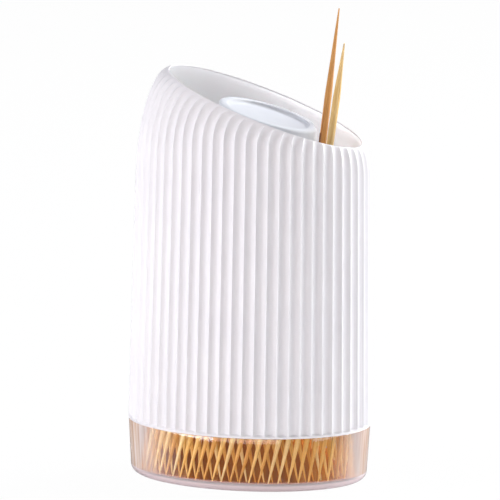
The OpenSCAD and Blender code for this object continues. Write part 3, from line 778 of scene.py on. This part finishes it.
# %% Finishes on the CAD pieces
for name, material, width in (("guide_bridge", inner_finish, 0.15), ("pick_plate", inner_finish, 0.12),
                              ("plate_screws", steel_finish, 0.05), ("bridge_screws", steel_finish, 0.05),
                              ("stem_washer", steel_finish, 0.06), ("stem_screw", steel_finish, 0.06)):
    node = frame["nodes"][name]
    node.data.materials.clear()
    node.data.materials.append(material)
    edge = node.modifiers.new("edge", "BEVEL")
    edge.width = width * MM
    edge.segments = 2
    edge.limit_method = "ANGLE"
    edge.angle_limit = math.radians(40)
    print(name, "takes", material.name)

# %% [markdown]
# ## A toothpick
# A stick is a long row of rings: a blunt tip 0.3 mm across, a cone that swells over the first 16 mm, and a body
# that isn't quite true, because it was split and tumbled. The rings are nearly round, and each stick has its
# own seed: a little bend, a little flat, its own tone. The grain map runs round the stick across and along the
# stick upwards, in millimetres.

# %% One stick as points
PICK_L, PICK_R, POINT_L = 65.0, 0.85, 13.0
STICK_SIDES = 14
heights = np.array([0, 0.06, 0.2, 0.6, 1.2, 2, 3, 4, 5, 7, 9, 11, 13, 16, 20, 26, 32.5])
heights = np.concatenate([heights, PICK_L - heights[-2::-1]])
END_SHARE = 0.15
radii_known = ([0, 0.06, 0.2, 1.2, 5, 9, 13, 16], [0.08, 0.12, 0.15, 0.2, 0.37, 0.54, 0.72, 0.85])


def stick_points(seed, stretch=1.0, radius=PICK_R):
    """Rings of one upright stick, with its grain map and tone. stretch lengthens the upper point."""
    dice = random.Random(seed)
    bend, turn = dice.uniform(0, 0.12), dice.uniform(0, 2 * math.pi)
    flat, flat_turn = dice.uniform(0.0, 0.05), dice.uniform(0, math.pi)
    tone = dice.random()
    t = np.linspace(0, 2 * np.pi, STICK_SIDES, endpoint=False)
    rings, grain = [], []
    corner = 7.3 * seed % 97, 11.0 * seed % 89
    for z in heights:
        from_end = z if z < PICK_L / 2 else (PICK_L - z) / stretch
        r = np.interp(from_end, *radii_known) / PICK_R * radius
        r = r * (1 - flat * (0.5 + 0.5 * np.cos(2 * (t - flat_turn))))
        shift = bend * math.sin(math.pi * z / PICK_L)
        rings.append(np.column_stack([r * np.cos(t) + shift * math.cos(turn),
                                      r * np.sin(t) + shift * math.sin(turn), np.full(STICK_SIDES, z)]))
        grain.append(np.column_stack([t * radius + corner[0], np.full(STICK_SIDES, z + corner[1])]))
    return np.array(rings), np.array(grain), tone


def stand(rings, foot, axis):
    """Carries upright rings to a foot point and leans them along an axis."""
    turn = Vector((0, 0, 1)).rotation_difference(Vector(axis)).to_matrix()
    return rings.reshape(-1, 3) @ np.array(turn).T + np.array(foot)


print("one stick", len(heights), "rings,", PICK_L, "mm long")

# %% One object from many sticks


def stick_object(name, sticks, material, body):
    """One object from many sticks: (seed, foot, axis, stretch, radius) each, with grain map and tone."""
    points, faces, grain, tones = [], [], [], []
    for seed, foot, axis, stretch, radius, *given_tone in sticks:
        rings, marks, tone = stick_points(seed, stretch, radius)
        tone = given_tone[0] if given_tone else tone
        start = sum(len(p) for p in points)
        points.append(stand(rings, foot, axis))
        faces += ring_faces(len(heights), STICK_SIDES, start, False, True)
        grain.append(marks.reshape(-1, 2))
        tones += [tone] * len(points[-1])
    piece = object_from(name, np.concatenate(points), faces, material, body, sharp=60)
    mesh, grain = piece.data, np.concatenate(grain)
    layer = mesh.uv_layers.new(name="grain")
    corner_points = np.zeros(len(mesh.loops), np.int32)
    mesh.loops.foreach_get("vertex_index", corner_points)
    layer.data.foreach_set("uv", grain[corner_points].astype(np.float32).ravel())
    store = mesh.attributes.new("stick_tone", "FLOAT", "POINT")
    store.data.foreach_set("value", np.array(tones, np.float32))
    return piece


print("faces of one stick", len(ring_faces(len(heights), STICK_SIDES, 0, False, True)))

# %% [markdown]
# ## The stored toothpicks
# Loose sticks in an oval cup settle against its wall and lean along it. The photo shows two layers that lean
# opposite ways, which makes the crossed pattern in the clear band. Each layer is a ring of sticks, and the lean
# is strongest at the front. The same values place the CAD solids.

# %% Where the rows run
INSIDE_W, INSIDE_D = HALF_W - INNER_IN, HALF_D - INNER_IN


def tangent(degrees):
    return math.tan(math.radians(degrees))


def wall_room(lean, half_along, half_across):
    """How far a leaning stick's middle has to stay off a curved wall, so that neither end cuts into it."""
    return max(((PICK_L / 2 - reach) * tangent(lean)) ** 2 * half_across / half_along ** 2 / 2 + radius
               for reach, radius in ((POINT_L, PICK_R), (0, PICK_R * END_SHARE)))


WALL_GAP, ROW_STEP = 0.45, 1.9
ROW_W = INSIDE_W - wall_room(11, INSIDE_D, INSIDE_W) - WALL_GAP
ROW_D = INSIDE_D - wall_room(15, INSIDE_W, INSIDE_D) - WALL_GAP
INNER_ROW_W, INNER_ROW_D = ROW_W - ROW_STEP, ROW_D - ROW_STEP
print("rows", round(ROW_W, 2), round(ROW_D, 2), "and", round(INNER_ROW_W, 2), round(INNER_ROW_D, 2))

# %% The two rows


def row_of_sticks(a, b, count, lean, swing, way, seed):
    """Sticks along an oval that lean along it by lean degrees, and by swing more at the front."""
    sticks = []
    for i, t in enumerate(even_angles(a, b, np.arange(count) / count)):
        tilt = math.radians(lean + swing * math.cos(t - math.radians(270)))
        along = np.array([-a * math.sin(t), b * math.cos(t)])
        along /= np.linalg.norm(along)
        axis = (way * math.sin(tilt) * along[0], way * math.sin(tilt) * along[1], math.cos(tilt))
        middle = np.array([a * math.cos(t), b * math.sin(t)])
        foot = middle - way * PICK_L / 2 * math.sin(tilt) * along
        lift = FLOOR_T + PICK_R * END_SHARE * math.sin(tilt) + 0.02
        sticks.append((seed + i, (foot[0], foot[1], lift), axis, 1.0, PICK_R))
    return sticks


outer_sticks = stick_object("outer_row_sticks", row_of_sticks(ROW_W, ROW_D, 64, 11, 4, 1, 100),
                            stored_bamboo, "base")
inner_sticks = stick_object("inner_row_sticks", row_of_sticks(INNER_ROW_W, INNER_ROW_D, 60, 9, 3, -1, 300),
                            stored_bamboo, "base")
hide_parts("outer_row_toothpicks")
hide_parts("inner_row_toothpicks")
print("points of the rows", len(outer_sticks.data.vertices), len(inner_sticks.data.vertices))

# %% [markdown]
# ## The waiting and the raised toothpicks
# Ten sticks stand upright under free holes of the plate, and three have been caught in it and raised. A raised
# stick leans out round the button. Its place and its lean come from the CAD joint: the stick draws out along its
# own axis, so the joint's axis is the stick's.

# %% Places from the CAD solids
for number in range(1, 11):
    node = "waiting_toothpick_%d" % number
    low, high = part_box(node)
    centre = (low + high) / 2 / MM
    stick = stick_object("waiting_stick_%d" % number,
                         [(500 + number, (centre.x, centre.y, FLOOR_T), (0, 0, 1), 1.0, PICK_R)],
                         stored_bamboo, "base")
    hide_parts(node)
joint_axis = {joint["child"]: joint["axis"] for joint in frame["joints"]}
# The third raised stick takes the dark copy with painted shade.
raised_looks = ((1, pale_bamboo, 1.3, 0.5), (2, raised_bamboo, 0.75, 0.5), (3, bamboo_painted_shade, 1.0, 0.5))
for number, material, stretch, tone in raised_looks:
    node = "raised_toothpick_%d" % number
    low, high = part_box(node)
    centre = (low + high) / 2 / MM
    axis = Vector(joint_axis["raised_%d" % number])
    foot = centre - axis * PICK_L / 2
    stick = stick_object("raised_stick_%d" % number, [(700 + number, foot, axis, stretch, PICK_R, tone)],
                         material, "raised_%d" % number)
    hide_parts(node)
    print("raised stick", number, "tip", [round(v, 1) for v in foot + axis * PICK_L])

# %% [markdown]
# ## The camera
# The photo was taken from far off with a long lens, 12 degrees above the table and 12 degrees round from the
# front. The values come from matching the flutes, the rims and the base lines. The camera looks straight at
# the middle of the picture, so no lens shift is needed.

# %% Camera from the matched view
ELEVATION, ROLL, TURN = (math.radians(v) for v in (12.29, 0.83, 12.3))
PIXELS_PER_MM, DISTANCE = 4.359, 1428.6
BASE_PIXEL, PICTURE, SENSOR = (248.56, 473.6), 500, 36
right = Vector((math.cos(TURN), math.sin(TURN), 0))
away = Vector((-math.sin(TURN), math.cos(TURN), 0))
forward = away * math.cos(ELEVATION) + Vector((0, 0, -math.sin(ELEVATION)))
down = -away * math.sin(ELEVATION) + Vector((0, 0, -math.cos(ELEVATION)))
right, down = (right * math.cos(ROLL) - down * math.sin(ROLL),
               right * math.sin(ROLL) + down * math.cos(ROLL))
focal = PIXELS_PER_MM * DISTANCE
aim = forward * focal + right * (PICTURE / 2 - BASE_PIXEL[0]) + down * (PICTURE / 2 - BASE_PIXEL[1])
stretch = aim.length / focal
aim.normalize()
right = (right - aim * right.dot(aim)).normalized()
up = right.cross(aim)
camera = bpy.data.objects.new("camera", bpy.data.cameras.new("camera"))
bpy.context.scene.collection.objects.link(camera)
camera.matrix_world = Matrix((
    (right.x, up.x, -aim.x, -forward.x * DISTANCE * MM),
    (right.y, up.y, -aim.y, -forward.y * DISTANCE * MM),
    (right.z, up.z, -aim.z, -forward.z * DISTANCE * MM),
    (0, 0, 0, 1)))
camera.data.sensor_width = SENSOR
camera.data.lens = focal * stretch / PICTURE * SENSOR
camera.data.clip_start, camera.data.clip_end = 0.1, 10
bpy.context.scene.camera = camera
print("lens", round(camera.data.lens, 1), "mm at", round(DISTANCE), "mm")

# %% [markdown]
# ## Floor, backdrop and light
# The picture's white is the white of its backdrop, not of more light: the floor and the world look white to the
# camera, also through one wall of the cup, and light the object softly. A ray that has crossed the whole cup
# would show a bare floor between the sticks, where a full cup shows more sticks, so it sees a bamboo brown.
# In glossy reflections the paper is dimmer, or the front of the cup would mirror it over the sticks.

# %% White paper
CROSSED = 2.5  # a ray through one wall meets two faces of the cup, a ray across the cup more
GLOSSY_PAPER, GLOW_SHARE = 0.2, 0.97
FLOOR_HALF = 3.0


def through_one_wall(tree, path):
    shallow = add(tree, "Math", {1: CROSSED}, {0: path.outputs["Transmission Depth"]}, operation="LESS_THAN")
    return add(tree, "Math", links={0: path.outputs["Is Transmission Ray"], 1: shallow.outputs[0]},
               operation="MULTIPLY").outputs[0]


def studio_floor():
    material, tree = new_material("studio_floor")
    path = add(tree, "LightPath")
    seen = add(tree, "Math", links={0: path.outputs["Is Camera Ray"], 1: path.outputs["Is Glossy Ray"]},
               operation="MAXIMUM")
    seen = add(tree, "Math", links={0: seen.outputs[0], 1: through_one_wall(tree, path)}, operation="MAXIMUM")
    where = add(tree, "TexCoord").outputs["Object"]
    paper = add(tree, "TexNoise", {"Scale": 60.0, "Detail": 2.0}, {"Vector": where})
    tone = two_tones(tree, paper, "f2f2f2", "f5f5f5")
    behind = add(tree, "Math", {1: CROSSED}, {0: path.outputs["Transmission Depth"]}, operation="GREATER_THAN")
    tone = mix_colours(tree, behind.outputs[0], tone.outputs["Color"], linear("cc6c24"))
    diffuse = add(tree, "BsdfDiffuse", links={"Color": tone.outputs[2]})
    strength = spread(tree, path.outputs["Is Glossy Ray"], 1.0, GLOSSY_PAPER)
    glow = add(tree, "Emission", {"Color": (1, 1, 1, 1)}, {"Strength": strength})
    share = add(tree, "Math", {1: GLOW_SHARE}, {0: seen.outputs[0]}, operation="MULTIPLY")
    mix = add(tree, "MixShader", links={0: share.outputs[0], 1: diffuse.outputs[0], 2: glow.outputs[0]})
    finish_material(tree, mix)
    return material


print("paper seen through up to", int(CROSSED), "faces of the cup")

# %% Floor
floor_mesh = bpy.data.meshes.new("floor")
corners = [(x * FLOOR_HALF, y * FLOOR_HALF, 0) for x, y in ((-1, -1), (1, -1), (1, 1), (-1, 1))]
floor_mesh.from_pydata(corners, [], [(0, 1, 2, 3)])
floor_mesh.materials.append(studio_floor())
floor = bpy.data.objects.new("floor", floor_mesh)
bpy.context.scene.collection.objects.link(floor)
floor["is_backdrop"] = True
print("floor", 2 * FLOOR_HALF, "m wide")

# %% World
world = bpy.data.worlds.new("studio")
bpy.context.scene.world = world
world.use_nodes = True
tree = world.node_tree
tree.nodes.clear()
path = add(tree, "LightPath")
seen = add(tree, "Math", links={0: path.outputs["Is Camera Ray"], 1: through_one_wall(tree, path)},
           operation="MAXIMUM")
soft = add(tree, "Background", {"Color": (1.0, 0.985, 0.97, 1), "Strength": 0.04})
white = add(tree, "Background", {"Color": (1, 1, 1, 1), "Strength": 1.0})
mix = add(tree, "MixShader", links={0: seen.outputs[0], 1: soft.outputs[0], 2: white.outputs[0]})
add(tree, "OutputWorld", links={"Surface": mix.outputs[0]})
print("world nodes", len(tree.nodes))

# %% [markdown]
# ## Lamps
# Ten plain soft boxes stand round the object, with powers matched to the photo's brightness. Those
# at the right and behind draw a bright edge along each flute and light the inside of the mouth, the high left one
# fills the case, and three low strips reach the sticks in the clear band.

# %% Soft boxes
AIM_HEIGHT = 0.055


def soft_box(name, bearing, distance, height, size, power, colour):
    """A soft box at a bearing in degrees from the camera, positive to the picture's right, in metres."""
    way = math.radians(bearing) + TURN - math.pi / 2
    place = (distance * math.cos(way), distance * math.sin(way), height)
    lamp = bpy.data.lights.new(name, "AREA")
    lamp.shape, lamp.size, lamp.size_y = "RECTANGLE", *size
    lamp.energy, lamp.color = power, colour
    holder = bpy.data.objects.new(name, lamp)
    bpy.context.scene.collection.objects.link(holder)
    holder.location = place
    aim = Vector((0, 0, AIM_HEIGHT)) - Vector(place)
    holder.rotation_euler = aim.to_track_quat("-Z", "Y").to_euler()


tall, square, low_strip = (0.35, 0.8), (0.6, 0.6), (0.2, 0.02)
soft_boxes = (
    ("left_box", -70, 0.9, 0.22, tall, 0.5, (0.95, 1.0, 1.0)),
    ("front_box", 0, 0.9, 0.22, tall, 1.2, (1.06, 0.95, 0.93)),
    ("near_right_box", 50, 0.9, 0.25, tall, 0.3, (1.06, 0.93, 0.98)),
    ("right_box", 95, 0.9, 0.3, tall, 4.7, (1, 1, 1)),
    ("back_box", 120, 0.9, 0.3, tall, 4.7, (1, 1, 1)),
    ("high_left_box", -80, 0.5, 0.85, square, 4.3, (0.99, 0.98, 1.03)),
    ("high_back_box", 140, 0.6, 0.75, square, 5.2, (0.97, 1, 1.06)),
    ("low_left_box", -60, 0.22, 0.015, low_strip, 0.165, (0.98, 0.99, 1.05)),
    ("low_front_box", -12, 0.22, 0.015, low_strip, 0.05, (1, 0.88, 0.8)),
    ("low_right_box", 65, 0.22, 0.015, low_strip, 0.05, (0.85, 1, 1.15)),
)
for row in soft_boxes:
    soft_box(*row)
print("lamps", len(soft_boxes), "with", round(sum(row[5] for row in soft_boxes), 2), "W in all")

# %% [markdown]
# ## The size of the dressed part
# The dressed part should fill the same box as the solids. The box it fills is printed in millimetres, and the
# last line sets the view transform to Standard.

# %% Sizes and finish
low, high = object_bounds()
print("box, mm", [round(v / MM, 1) for v in low], [round(v / MM, 1) for v in high])
bpy.context.scene.view_settings.view_transform = "Standard"
